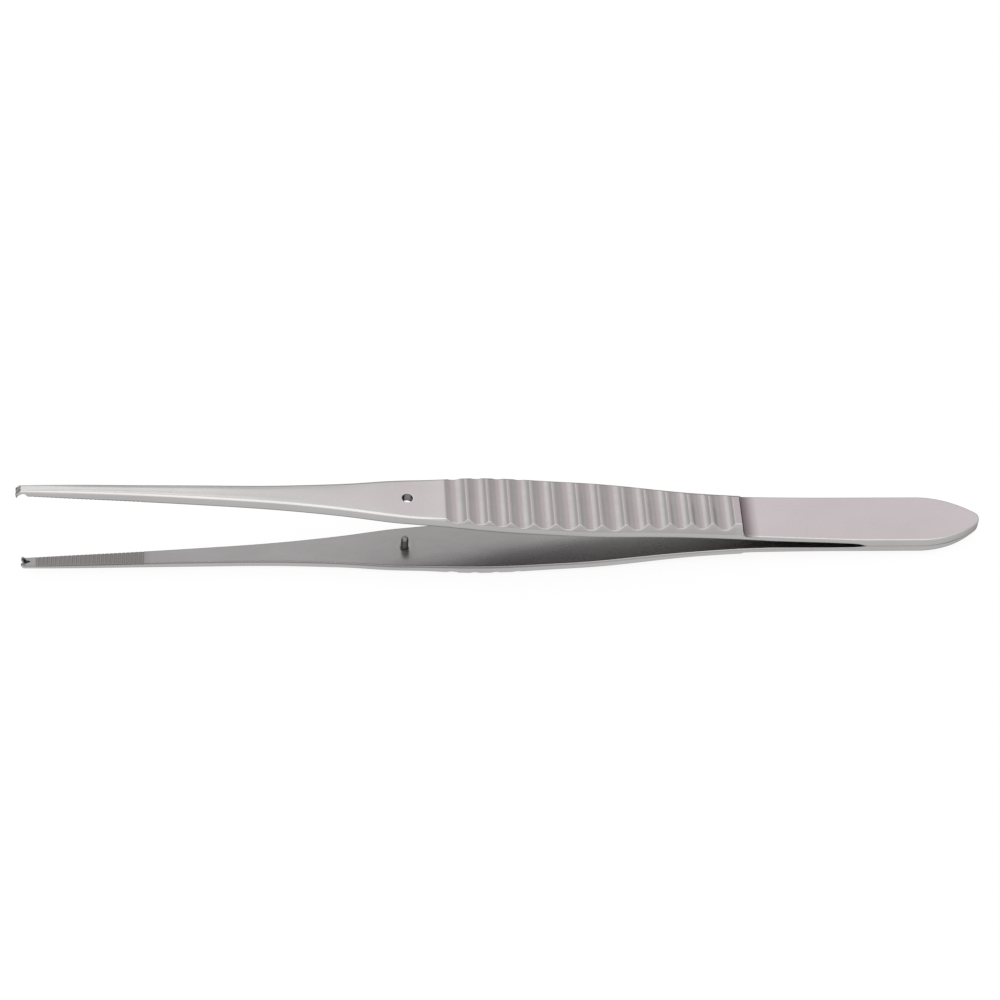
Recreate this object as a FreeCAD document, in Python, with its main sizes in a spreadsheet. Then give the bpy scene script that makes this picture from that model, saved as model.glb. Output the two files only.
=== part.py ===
import FreeCAD, Part
import math
import os
import Sketcher

# Thumb forceps: two spring blades welded flat to each other at the tail and
# open towards the tips, a fluted finger grip on the outside of each blade, a
# guide pin on the lower blade that runs in a hole through the upper one,
# finely serrated jaw pads, and one tooth above that meets two teeth below.
#
# The part lies on the outer side of its lower blade, +Z up: the tail end and
# the foremost crest of the grip touch the ground and the tips stand clear.
# +X runs towards the tail.  Each blade is drawn on its own with the welding
# plane as z = 0, the tail end at x = 0, the tips at -x and the outer side up;
# the lower blade is then turned half a turn about the x axis.

doc = FreeCAD.newDocument("ThumbForceps")
sheet = doc.addObject("Spreadsheet::Sheet", "Sizes")
# Driving sizes in mm; the spreads and the rise are slopes, mm per mm.
SIZES = {
    # overall
    "overall_length": 150,
    # tail: two flat leaves, side by side, with a pointed arch for an end
    "tail_width": 8.8,
    "tail_leaf_thickness": 1.4,
    "tail_arch_radius": 14.5,
    "tail_nose_radius": 1.2,
    "weld_length": 18.2,
    # spring: the thin stretch behind the grip, parted by a narrow slit
    "slit_half_gap": 0.62,
    "spring_mid_from_tail": 27,
    "spring_mid_width": 8.45,
    "spring_mid_outer": 1.62,
    "spring_end_outer": 2.08,
    # spread of each blade from the welding plane
    "grip_start": 38,
    "grip_start_half_gap": 1.15,
    "grip_spread": 0.0787,
    "spread_change": 84,
    "front_spread": 0.0555,
    # grip: edge thickness behind, amidships and in front, and the line that
    # the crests lie on
    "grip_edge_rear": 1.05,
    "grip_edge": 1.25,
    "grip_edge_front": 1.5,
    "crest_start": 3.52,
    "crest_rise": 0.0687,
    "flute_count": 13,
    "flute_pitch": 3.48,
    "flute_depth": 0.62,
    "flute_land": 0.5,
    "rear_land": 1.5,
    "step_radius": 0.8,
    # grip widths, from the tail towards the tips
    "waist_from_tail": 46,
    "waist_width": 8.3,
    "swell_from_tail": 54,
    "swell_width": 9.1,
    "broad_from_tail": 61,
    "broad_width": 9.92,
    "full_from_tail": 68,
    "full_width": 10.05,
    "fore_from_tail": 75,
    "fore_width": 9.88,
    "front_from_tail": 82,
    "front_width": 9.05,
    "grip_rear_width": 8.05,
    # shoulder, neck and shank in front of the grip; a share is a place on the
    # stretch from the shoulder, 0, to the tips, 1
    "shoulder_from_tail": 87,
    "shoulder_width": 8.2,
    "shoulder_edge": 1.15,
    "shank_bevel": 0.4,
    "pinned_share": 0.087,
    "pinned_width": 7.4,
    "neck_share": 0.175,
    "neck_width": 6.0,
    "taper_share": 0.27,
    "taper_width": 4.75,
    "shank_share": 0.397,
    "shank_width": 3.6,
    "slim_share": 0.54,
    "slim_width": 2.9,
    "shank_edge": 1.2,
    # jaws
    "jaw_share": 0.698,
    "jaw_width": 2.35,
    "jaw_edge": 1.1,
    "jaw_mid_share": 0.857,
    "jaw_mid_width": 2.0,
    "jaw_mid_edge": 0.9,
    "tip_width": 1.6,
    "tip_edge": 0.65,
    "tip_bevel": 0.25,
    # serrated pads: fine grooves across the inner faces
    "pad_setback": 2.6,
    "serration_count": 26,
    "serration_pitch": 0.65,
    "serration_depth": 0.08,
    # guide pin and the hole that it runs in
    "pin_from_tail": 90.3,
    "pin_diameter": 1.2,
    "pin_height": 2.65,
    "pin_tip_length": 0.75,
    "pin_tip_diameter": 0.5,
    "pin_seat_depth": 1.0,
    "pin_play": 0.25,
    # teeth at the tips
    "tooth_setback": 0.06,
    "tooth_length": 0.45,
    "tooth_width": 0.65,
    "tooth_height": 1.15,
    "tooth_side_play": 0.08,
    "relief_length": 1.36,
    "relief_depth": 0.55,
    "notch_length": 1.45,
    "notch_depth": 0.7,
    "side_tooth_length": 0.7,
    "side_tooth_height": 0.32,
    "side_tooth_inset": 0.05,
}
for row, (alias, number) in enumerate(SIZES.items(), start=1):
    sheet.set("A%d" % row, alias)
    sheet.set("B%d" % row, str(number))
    sheet.setAlias("B%d" % row, alias)
doc.recompute()


def value(alias):
    return float(sheet.get(alias))


S = "Sizes."
GAP_AT_CHANGE = "(Sizes.grip_start_half_gap + Sizes.grip_spread * (Sizes.spread_change - Sizes.grip_start))"


def half_gap(place):
    """Expression for the height of the inner face at a distance from the tail."""
    back = "(Sizes.grip_start_half_gap + Sizes.grip_spread * (%s - Sizes.grip_start))" % place
    fore = "(%s + Sizes.front_spread * (%s - Sizes.spread_change))" % (GAP_AT_CHANGE, place)
    return "(%s < Sizes.spread_change ? %s : %s)" % (place, back, fore)


def half_gap_value(place):
    start = value("grip_start_half_gap")
    if place < value("spread_change"):
        return start + value("grip_spread") * (place - value("grip_start"))
    at_change = start + value("grip_spread") * (value("spread_change") - value("grip_start"))
    return at_change + value("front_spread") * (place - value("spread_change"))


def crest(place):
    """Expression for the height of the crest line at a distance from the tail."""
    return "(Sizes.crest_start + Sizes.crest_rise * (%s - Sizes.grip_start))" % place


def crest_value(place):
    return value("crest_start") + value("crest_rise") * (place - value("grip_start"))


def origin_plane(body, role):
    for item in body.Origin.OriginFeatures:
        if item.Role == role:
            return item
    raise RuntimeError("no plane " + role)


def new_sketch(body, name, role, offset=None):
    sketch = body.newObject("Sketcher::SketchObject", name)
    sketch.AttachmentSupport = [(origin_plane(body, role), "")]
    sketch.MapMode = "FlatFace"
    if offset is not None:
        sketch.setExpression("AttachmentOffset.Base.z", offset)
    return sketch


def bind(sketch, kind, refs, start, expression):
    """Add a dimension to a sketch and tie it to an expression."""
    index = sketch.addConstraint(Sketcher.Constraint(kind, *refs, start))
    sketch.setExpression("Constraints[%d]" % index, expression)
    return index


def at(sketch, element, end, x, y, x_expression, y_expression):
    """Hold one end of a sketch element at a point given by expressions."""
    bind(sketch, "DistanceX", (-1, 1, element, end), x, x_expression)
    bind(sketch, "DistanceY", (-1, 1, element, end), y, y_expression)


def polygon(sketch, points):
    """Closed polygon of (x, y, x expression, y expression)."""
    count = len(points)
    for i in range(count):
        a = points[i]
        b = points[(i + 1) % count]
        start = FreeCAD.Vector(a[0], a[1], 0)
        stop = FreeCAD.Vector(b[0], b[1], 0)
        sketch.addGeometry(Part.LineSegment(start, stop), False)
    for i in range(count):
        joint = Sketcher.Constraint("Coincident", i, 2, (i + 1) % count, 1)
        sketch.addConstraint(joint)
    for i, point in enumerate(points):
        at(sketch, i, 1, *point)


def section(body, name, place, width, inner, outer, bevel, numbers):
    """Cross-section of a blade: flat inner face, upright edges, and a bevel
    along each long edge of the outer face."""
    s0, w0, h0, o0, b0 = numbers
    sketch = new_sketch(body, name, "YZ_Plane", "-(%s)" % place)
    half = "(%s) / 2" % width
    top = "(%s)" % outer
    side = "(%s) - (%s)" % (outer, bevel)
    flat = "(%s) / 2 - (%s)" % (width, bevel)
    polygon(sketch, [
        (-w0 / 2, h0, "-(%s)" % half, inner),
        (w0 / 2, h0, half, inner),
        (w0 / 2, o0 - b0, half, side),
        (w0 / 2 - b0, o0, flat, top),
        (b0 - w0 / 2, o0, "-(%s)" % flat, top),
        (-w0 / 2, o0 - b0, "-(%s)" % half, side),
    ])
    return sketch


def filled(body, x, z, y=0):
    """Whether the body has metal at a point."""
    doc.recompute()
    point = FreeCAD.Vector(x, y, z)
    return any(solid.isInside(point, 1e-4, False) for solid in body.Shape.Solids)


def must_be(body, name, wanted, x, z, y=0):
    """Stop where a feature did nothing: a pocket can point away from the metal."""
    if filled(body, x, z, y) != wanted:
        raise RuntimeError("%s has no effect at %.2f, %.2f, %.2f" % (name, x, y, z))


def cut_through(body, name, sketch, x, z):
    """Pocket through the whole width of the blade; x, z is a point it empties."""
    must_be(body, name, True, x, z)
    pocket = body.newObject("PartDesign::Pocket", name)
    pocket.Refine = False
    pocket.Profile = (sketch, [""])
    pocket.Midplane = True
    pocket.Type = 0
    pocket.setExpression("Length", "4 * Sizes.full_width")
    must_be(body, name, False, x, z)
    return pocket


def tail(body):
    """Flat leaf of the tail with the pointed arch at its end."""
    sketch = new_sketch(body, "TailOutline", "XY_Plane")
    half = value("tail_width") / 2
    radius = value("tail_arch_radius")
    nose = value("tail_nose_radius")
    # the nose arc touches both arch arcs from inside
    rise = radius - half
    reach = math.sqrt((radius - nose) ** 2 - rise ** 2)
    arch_x = -(nose + reach)
    unit_x = reach / (radius - nose)
    unit_y = rise / (radius - nose)
    touch_x = arch_x + radius * unit_x
    touch_y = -rise + radius * unit_y
    end = -value("weld_length") - 0.5
    V = FreeCAD.Vector
    sketch.addGeometry(Part.LineSegment(V(end, -half, 0), V(end, half, 0)), False)
    sketch.addGeometry(Part.LineSegment(V(end, half, 0), V(arch_x, half, 0)), False)
    middle = math.radians(90 - math.degrees(math.atan2(unit_x, unit_y)) / 2)
    mid_x = arch_x + radius * math.cos(middle)
    mid_y = -rise + radius * math.sin(middle)
    up = Part.Arc(V(arch_x, half, 0), V(mid_x, mid_y, 0), V(touch_x, touch_y, 0))
    down = Part.Arc(V(touch_x, -touch_y, 0), V(mid_x, -mid_y, 0), V(arch_x, -half, 0))
    tip = Part.Arc(V(touch_x, touch_y, 0), V(0, 0, 0), V(touch_x, -touch_y, 0))
    sketch.addGeometry(up, False)
    sketch.addGeometry(tip, False)
    sketch.addGeometry(down, False)
    sketch.addGeometry(Part.LineSegment(V(arch_x, -half, 0), V(end, -half, 0)), False)
    add = sketch.addConstraint
    C = Sketcher.Constraint
    def end_near(index, point):
        """Which end of an arc lies at a point: arcs are kept counter-clockwise."""
        first = sketch.getPoint(index, 1).distanceToPoint(point)
        last = sketch.getPoint(index, 2).distanceToPoint(point)
        return 1 if first < last else 2

    add(C("Coincident", 0, 2, 1, 1))
    add(C("Tangent", 1, 2, 2, end_near(2, V(arch_x, half, 0))))
    add(C("Tangent", 2, end_near(2, V(touch_x, touch_y, 0)), 3, end_near(3, V(touch_x, touch_y, 0))))
    add(C("Tangent", 3, end_near(3, V(touch_x, -touch_y, 0)), 4, end_near(4, V(touch_x, -touch_y, 0))))
    add(C("Tangent", 4, end_near(4, V(arch_x, -half, 0)), 5, 1))
    add(C("Coincident", 5, 2, 0, 1))
    add(C("Horizontal", 1))
    add(C("Horizontal", 5))
    add(C("Vertical", 0))
    bind(sketch, "DistanceY", (-1, 1, 1, 1), half, "Sizes.tail_width / 2")
    bind(sketch, "DistanceY", (0, 1, -1, 1), half, "Sizes.tail_width / 2")
    bind(sketch, "DistanceX", (0, 1, -1, 1), -end, "Sizes.weld_length + 0.5")
    bind(sketch, "Radius", (2,), radius, "Sizes.tail_arch_radius")
    bind(sketch, "Radius", (4,), radius, "Sizes.tail_arch_radius")
    bind(sketch, "Radius", (3,), nose, "Sizes.tail_nose_radius")
    bind(sketch, "DistanceX", (3, 3, -1, 1), nose, "Sizes.tail_nose_radius")
    add(C("PointOnObject", 3, 3, -1))
    pad = body.newObject("PartDesign::Pad", "Tail")
    pad.Profile = (sketch, [""])
    pad.setExpression("Length", "Sizes.tail_leaf_thickness")
    doc.recompute()
    return pad


def loft(body, name, sections):
    item = body.newObject("PartDesign::AdditiveLoft", name)
    item.Refine = False
    item.Profile = (sections[0], [""])
    item.Sections = [(one, [""]) for one in sections[1:]]
    item.Ruled = False
    item.Closed = False
    doc.recompute()
    return item


def spring(body):
    """Thin stretch from the weld to the back of the grip, solid down to the
    welding plane for now."""
    tiny = 0.05
    start = value("weld_length") + 0.5
    places = [
        ("SpringStart", "Sizes.weld_length + 0.5", "Sizes.tail_width", "Sizes.tail_leaf_thickness",
         (start, value("tail_width"), 0, value("tail_leaf_thickness"), tiny)),
        ("SpringMiddle", "Sizes.spring_mid_from_tail", "Sizes.spring_mid_width", "Sizes.spring_mid_outer",
         (value("spring_mid_from_tail"), value("spring_mid_width"), 0, value("spring_mid_outer"), tiny)),
        ("SpringEnd", "Sizes.grip_start", "Sizes.grip_rear_width", "Sizes.spring_end_outer",
         (value("grip_start"), value("grip_rear_width"), 0, value("spring_end_outer"), tiny)),
    ]
    made = []
    for name, place, width, outer, numbers in places:
        made.append(section(body, name, place, width, "0", outer, str(tiny), numbers))
    return loft(body, "Spring", made)


# station, edge thickness and bevel; the bevels of the grip follow the crest line
FRONT = [
    ("grip_start", "grip_rear_width", "grip_edge_rear", None),
    ("waist_from_tail", "waist_width", "grip_edge_rear", None),
    ("swell_from_tail", "swell_width", "grip_edge", None),
    ("broad_from_tail", "broad_width", "grip_edge", None),
    ("full_from_tail", "full_width", "grip_edge", None),
    ("fore_from_tail", "fore_width", "grip_edge_front", None),
    ("front_from_tail", "front_width", "grip_edge_front", None),
    ("shoulder_from_tail", "shoulder_width", "shoulder_edge", "shank_bevel"),
    ("pinned_share", "pinned_width", "shoulder_edge", "shank_bevel"),
    ("neck_share", "neck_width", "shoulder_edge", "shank_bevel"),
    ("taper_share", "taper_width", "shank_edge", "shank_bevel"),
    ("shank_share", "shank_width", "shank_edge", "shank_bevel"),
    ("slim_share", "slim_width", "shank_edge", "shank_bevel"),
    ("jaw_share", "jaw_width", "jaw_edge", "shank_bevel"),
    ("jaw_mid_share", "jaw_mid_width", "jaw_mid_edge", "shank_bevel"),
    ("overall_length", "tip_width", "tip_edge", "tip_bevel"),
]


def station(key):
    """Expression for a station's distance from the tail end."""
    if key.endswith("_share"):
        stretch = "(Sizes.overall_length - Sizes.shoulder_from_tail)"
        return "(Sizes.shoulder_from_tail + Sizes.%s * %s)" % (key, stretch)
    return S + key


def station_value(key):
    if key.endswith("_share"):
        start = value("shoulder_from_tail")
        return start + value(key) * (value("overall_length") - start)
    return value(key)


def front(body):
    """Grip, shoulder, shank and jaw as one smooth body through the stations."""
    made = []
    for key, width, edge, bevel in FRONT:
        s0 = station_value(key)
        place = station(key)
        h0 = half_gap_value(s0)
        inner = half_gap(place)
        if bevel is None:
            outer = crest(place)
            o0 = crest_value(s0)
            drop = "(%s - %s - Sizes.%s)" % (outer, inner, edge)
            b0 = o0 - h0 - value(edge)
        else:
            outer = "(%s + Sizes.%s + Sizes.%s)" % (inner, edge, bevel)
            o0 = h0 + value(edge) + value(bevel)
            drop = S + bevel
            b0 = value(bevel)
        name = "Section_" + key.replace("_from_tail", "").replace("_share", "")
        numbers = (s0, value(width), h0, o0, b0)
        made.append(section(body, name, place, S + width, inner, outer, drop, numbers))
    return loft(body, "Front", made)


def slit(body):
    """Relief that parts the blades from the end of the weld to the grip; its
    closed end is a rounded point."""
    sketch = new_sketch(body, "SlitProfile", "XZ_Plane")
    weld = value("weld_length")
    gap = value("slit_half_gap")
    grip = value("grip_start")
    end_gap = value("grip_start_half_gap")
    low = -1.0
    polygon(sketch, [
        (-weld, low, "-Sizes.weld_length", "-1"),
        (-weld, 0, "-Sizes.weld_length", "0"),
        (-weld - 2 * gap, 0.55 * gap,
         "-Sizes.weld_length - 2 * Sizes.slit_half_gap", "0.55 * Sizes.slit_half_gap"),
        (-weld - 4 * gap, 0.75 * gap,
         "-Sizes.weld_length - 4 * Sizes.slit_half_gap", "0.75 * Sizes.slit_half_gap"),
        (-weld - 10 * gap, gap, "-Sizes.weld_length - 10 * Sizes.slit_half_gap", "Sizes.slit_half_gap"),
        (-weld - 0.75 * (grip - weld), 1.3 * gap,
         "-Sizes.weld_length - 0.75 * (Sizes.grip_start - Sizes.weld_length)", "1.3 * Sizes.slit_half_gap"),
        (-grip, end_gap, "-Sizes.grip_start", "Sizes.grip_start_half_gap"),
        (-grip - 1, end_gap, "-Sizes.grip_start - 1", "Sizes.grip_start_half_gap"),
        (-grip - 1, low, "-Sizes.grip_start - 1", "-1"),
    ])
    return cut_through(body, "Slit", sketch, -(weld + grip) / 2, 0.5 * gap)


def flutes(body):
    """Transverse concave flutes of the grip.  One round cutter is set on the
    crest line in front of the rear land and repeated along that line."""
    sketch = new_sketch(body, "FluteProfile", "XZ_Plane")
    chord = "(Sizes.flute_pitch - Sizes.flute_land)"
    radius = "((%s * %s / 4 + Sizes.flute_depth ^ 2) / (2 * Sizes.flute_depth))" % (chord, chord)
    wide = value("flute_pitch") - value("flute_land")
    deep = value("flute_depth")
    r0 = (wide * wide / 4 + deep * deep) / (2 * deep)
    place = "(Sizes.grip_start + Sizes.rear_land + %s / 2)" % chord
    s0 = value("grip_start") + value("rear_land") + wide / 2
    z0 = crest_value(s0) + r0 - deep
    V = FreeCAD.Vector
    sketch.addGeometry(Part.Circle(V(-s0, z0, 0), V(0, 0, 1), r0), False)
    at(sketch, 0, 3, -s0, z0, "-" + place, "%s + %s - Sizes.flute_depth" % (crest(place), radius))
    bind(sketch, "Radius", (0,), r0, radius)
    # construction line along the crests gives the pattern its direction
    run = V(-s0 - 10, z0 + 10 * value("crest_rise"), 0)
    sketch.addGeometry(Part.LineSegment(V(-s0, z0, 0), run), True)
    sketch.addConstraint(Sketcher.Constraint("Coincident", 0, 3, 1, 1))
    bind(sketch, "DistanceX", (1, 2, 1, 1), 10, "10")
    bind(sketch, "DistanceY", (1, 1, 1, 2), 10 * value("crest_rise"), "10 * Sizes.crest_rise")
    probe = crest_value(s0) - 0.7 * deep
    first = cut_through(body, "Flute", sketch, -s0, probe)
    travel = (value("flute_count") - 1) * value("flute_pitch") / math.hypot(1, value("crest_rise"))
    last = (-s0 - travel, probe + value("crest_rise") * travel)
    return repeat(body, "Flutes", first, sketch, "Sizes.flute_count", "Sizes.flute_pitch", last)


def repeat(body, name, feature, sketch, count, pitch, last):
    """Linear pattern of a cut along the construction line of its sketch; last
    is a point that the last copy empties."""
    must_be(body, name, True, *last)
    pattern = body.newObject("PartDesign::LinearPattern", name)
    pattern.Refine = False
    pattern.Originals = [feature]
    pattern.Direction = (sketch, ["Axis0"])
    pattern.setExpression("Occurrences", count)
    pattern.setExpression("Length", "(%s - 1) * %s" % (count, pitch))
    body.Tip = pattern
    must_be(body, name, False, *last)
    return pattern


def serrations(body):
    """Fine V grooves across the inner face of the jaw."""
    sketch = new_sketch(body, "SerrationProfile", "XZ_Plane")
    first = "(Sizes.overall_length - Sizes.pad_setback)"
    f0 = value("overall_length") - value("pad_setback")
    half = 0.45 * value("serration_pitch")
    deep = value("serration_depth")
    under = 0.2
    rise = value("front_spread")
    wide = "(0.45 * Sizes.serration_pitch)"
    polygon(sketch, [
        (-f0 - half, half_gap_value(f0) + rise * half - under,
         "-%s - %s" % (first, wide), "%s + Sizes.front_spread * %s - 0.2" % (half_gap(first), wide)),
        (-f0 + half, half_gap_value(f0) - rise * half - under,
         "-%s + %s" % (first, wide), "%s - Sizes.front_spread * %s - 0.2" % (half_gap(first), wide)),
        (-f0 + half, half_gap_value(f0) - rise * half,
         "-%s + %s" % (first, wide), "%s - Sizes.front_spread * %s" % (half_gap(first), wide)),
        (-f0, half_gap_value(f0) + deep,
         "-%s" % first, "%s + Sizes.serration_depth" % half_gap(first)),
        (-f0 - half, half_gap_value(f0) + rise * half,
         "-%s - %s" % (first, wide), "%s + Sizes.front_spread * %s" % (half_gap(first), wide)),
    ])
    V = FreeCAD.Vector
    start = V(-f0, half_gap_value(f0) + deep, 0)
    stop = V(-f0 + 10, half_gap_value(f0) + deep - 10 * rise, 0)
    sketch.addGeometry(Part.LineSegment(start, stop), True)
    sketch.addConstraint(Sketcher.Constraint("Coincident", 3, 1, 5, 1))
    bind(sketch, "DistanceX", (5, 1, 5, 2), 10, "10")
    bind(sketch, "DistanceY", (5, 2, 5, 1), 10 * rise, "10 * Sizes.front_spread")
    probe = half_gap_value(f0) + 0.4 * deep
    cut = cut_through(body, "Serration", sketch, -f0, probe)
    travel = (value("serration_count") - 1) * value("serration_pitch") / math.hypot(1, rise)
    last = (-f0 + travel, probe - rise * travel)
    return repeat(body, "Serrations", cut, sketch, "Sizes.serration_count",
                  "Sizes.serration_pitch", last)


def step_fillet(body):
    """Concave run-out where the grip drops to the thin spring behind it."""
    doc.recompute()
    tip = body.Tip
    place = -value("grip_start")
    chosen = []
    for number, edge in enumerate(tip.Shape.Edges):
        box = edge.BoundBox
        flat = abs(box.XMin - place) < 1e-3 and abs(box.XMax - place) < 1e-3
        level = box.ZMax - box.ZMin < 1e-3
        low = box.ZMax < value("crest_start") - 0.5 and box.ZMin > value("grip_start_half_gap") + 0.3
        if flat and level and low and box.YLength > value("grip_rear_width") / 2:
            chosen.append("Edge%d" % (number + 1))
    if len(chosen) != 1:
        raise RuntimeError("step edge not found")
    item = body.newObject("PartDesign::Fillet", "StepRunOut")
    item.Refine = False
    item.Base = (tip, chosen)
    item.setExpression("Radius", "Sizes.step_radius")
    doc.recompute()
    return item


def across(body, kind, name, plane, offset, draw, length, upward, probe):
    """Pad or pocket of a sketch on an origin plane; probe is a point, as x, z
    and y, that it fills or empties.  upward is None for both ways."""
    wanted = kind == "Pad"
    must_be(body, name, not wanted, *probe)
    sketch = new_sketch(body, name + "Profile", plane, offset)
    draw(sketch)
    item = body.newObject("PartDesign::" + kind, name)
    item.Refine = False
    item.Profile = (sketch, [""])
    item.Midplane = upward is None
    item.Reversed = bool(upward)
    item.setExpression("Length", length)
    must_be(body, name, wanted, *probe)
    return item


def pin_hole(body):
    """Through hole in the upper blade that the guide pin runs in."""
    def draw(sketch):
        place = value("pin_from_tail")
        radius = (value("pin_diameter") + 2 * value("pin_play")) / 2
        middle = FreeCAD.Vector(-place, 0, 0)
        sketch.addGeometry(Part.Circle(middle, FreeCAD.Vector(0, 0, 1), radius), False)
        sketch.addConstraint(Sketcher.Constraint("PointOnObject", 0, 3, -1))
        bind(sketch, "DistanceX", (-1, 1, 0, 3), -place, "-Sizes.pin_from_tail")
        bind(sketch, "Radius", (0,), radius, "(Sizes.pin_diameter + 2 * Sizes.pin_play) / 2")

    place = value("pin_from_tail")
    probe = (-place, half_gap_value(place) + 0.5 * value("shoulder_edge"))
    across(body, "Pocket", "PinHole", "XY_Plane", None, draw, "Sizes.overall_length / 10", True, probe)


def pin_seat(body):
    """Blind seat in the inner face of the lower blade that holds the pin."""
    def draw(sketch):
        place = value("pin_from_tail")
        radius = value("pin_diameter") / 2
        middle = FreeCAD.Vector(-place, 0, 0)
        sketch.addGeometry(Part.Circle(middle, FreeCAD.Vector(0, 0, 1), radius), False)
        sketch.addConstraint(Sketcher.Constraint("PointOnObject", 0, 3, -1))
        bind(sketch, "DistanceX", (-1, 1, 0, 3), -place, "-Sizes.pin_from_tail")
        bind(sketch, "Radius", (0,), radius, "Sizes.pin_diameter / 2")

    floor = "%s + Sizes.pin_seat_depth" % half_gap("Sizes.pin_from_tail")
    place = value("pin_from_tail")
    probe = (-place, half_gap_value(place) + 0.5 * value("pin_seat_depth"))
    long = "Sizes.pin_seat_depth + 0.5"
    across(body, "Pocket", "PinSeat", "XY_Plane", floor, draw, long, False, probe)


END = "Sizes.overall_length"


def tip_relief(body):
    """Concave hollow across the inner face behind the single tooth."""
    def draw(sketch):
        long_half = value("relief_length") / 2
        deep = value("relief_depth")
        r0 = (long_half ** 2 + deep ** 2) / (2 * deep)
        back = value("tooth_length") + long_half
        s0 = value("overall_length") - back
        z0 = half_gap_value(s0) + deep - r0
        place = "(%s - Sizes.tooth_length - Sizes.relief_length / 2)" % END
        radius = "((Sizes.relief_length ^ 2 / 4 + Sizes.relief_depth ^ 2) / (2 * Sizes.relief_depth))"
        up = FreeCAD.Vector(0, 0, 1)
        sketch.addGeometry(Part.Circle(FreeCAD.Vector(-s0, z0, 0), up, r0), False)
        level = "%s + Sizes.relief_depth - %s" % (half_gap(place), radius)
        at(sketch, 0, 3, -s0, z0, "-" + place, level)
        bind(sketch, "Radius", (0,), r0, radius)

    middle = value("overall_length") - value("tooth_length") - value("relief_length") / 2
    probe = (-middle, half_gap_value(middle) + 0.6 * value("relief_depth"))
    long = "4 * Sizes.tip_width"
    across(body, "Pocket", "TipRelief", "XZ_Plane", None, draw, long, None, probe)


def tooth(body):
    """Single tooth of the upper blade, reaching past the plane of the jaw."""
    def draw(sketch):
        end = value("overall_length")
        long = value("tooth_length")
        high = value("tooth_height")
        base = half_gap_value(end)
        root = 0.35
        apex_back = 0.25 * long
        face = -end + value("tooth_setback")
        face_text = "-%s + Sizes.tooth_setback" % END
        polygon(sketch, [
            (face, base + root, face_text, half_gap(END) + " + 0.35"),
            (face, base - 0.55 * high, face_text, half_gap(END) + " - 0.55 * Sizes.tooth_height"),
            (-end + apex_back, base - high, "-%s + 0.25 * Sizes.tooth_length" % END,
             half_gap(END) + " - Sizes.tooth_height"),
            (-end + 0.55 * long, base - 0.8 * high, "-%s + 0.55 * Sizes.tooth_length" % END,
             half_gap(END) + " - 0.8 * Sizes.tooth_height"),
            (-end + long, base + root, "-%s + Sizes.tooth_length" % END, half_gap(END) + " + 0.35"),
        ])

    near = value("overall_length") - 0.3 * value("tooth_length")
    probe = (-near, half_gap_value(near) - 0.6 * value("tooth_height"))
    across(body, "Pad", "Tooth", "XZ_Plane", None, draw, "Sizes.tooth_width", None, probe)


def side_teeth(body):
    """Ridge at the tip of the lower blade, split in two by a notch that the
    single tooth of the upper blade drops into."""
    def ridge(sketch):
        end = value("overall_length")
        long = value("side_tooth_length")
        high = value("side_tooth_height")
        base = half_gap_value(end)
        face = -end + value("tooth_setback")
        face_text = "-%s + Sizes.tooth_setback" % END
        polygon(sketch, [
            (face, base + 0.3, face_text, half_gap(END) + " + 0.3"),
            (face, base - 0.5 * high, face_text, half_gap(END) + " - 0.5 * Sizes.side_tooth_height"),
            (-end + 0.3 * long, base - high, "-%s + 0.3 * Sizes.side_tooth_length" % END,
             half_gap(END) + " - Sizes.side_tooth_height"),
            (-end + long, base + 0.3, "-%s + Sizes.side_tooth_length" % END, half_gap(END) + " + 0.3"),
        ])

    def notch(sketch):
        end = value("overall_length")
        half = value("tooth_width") / 2 + value("tooth_side_play")
        mouth = "(Sizes.tooth_width / 2 + Sizes.tooth_side_play)"
        polygon(sketch, [
            (-end - 0.5, half, "-%s - 0.5" % END, mouth),
            (-end - 0.5, -half, "-%s - 0.5" % END, "-" + mouth),
            (-end + 0.5 * value("notch_length"), -half, "-%s + 0.5 * Sizes.notch_length" % END, "-" + mouth),
            (-end + value("notch_length"), 0, "-%s + Sizes.notch_length" % END, "0"),
            (-end + 0.5 * value("notch_length"), half, "-%s + 0.5 * Sizes.notch_length" % END, mouth),
        ])

    near = value("overall_length") - 0.3 * value("side_tooth_length")
    probe = (-near, half_gap_value(near) - 0.5 * value("side_tooth_height"))
    wide = "Sizes.tip_width - 2 * Sizes.side_tooth_inset"
    across(body, "Pad", "TipRidge", "XZ_Plane", None, ridge, wide, None, probe)
    deep = "%s + Sizes.notch_depth" % half_gap(END)
    probe = (-near, half_gap_value(near) + 0.5 * value("notch_depth"))
    across(body, "Pocket", "TipNotch", "XY_Plane", None, notch, deep, True, probe)


def blade(name):
    """Everything that the two blades share, inner face down, outer side up."""
    body = doc.addObject("PartDesign::Body", name)
    body.Label = name
    tail(body)
    spring(body)
    slit(body)
    front(body)
    step_fillet(body)
    return body


def grooves(body):
    """The two rows of repeated cuts, made after everything else."""
    flutes(body)
    serrations(body)


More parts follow.
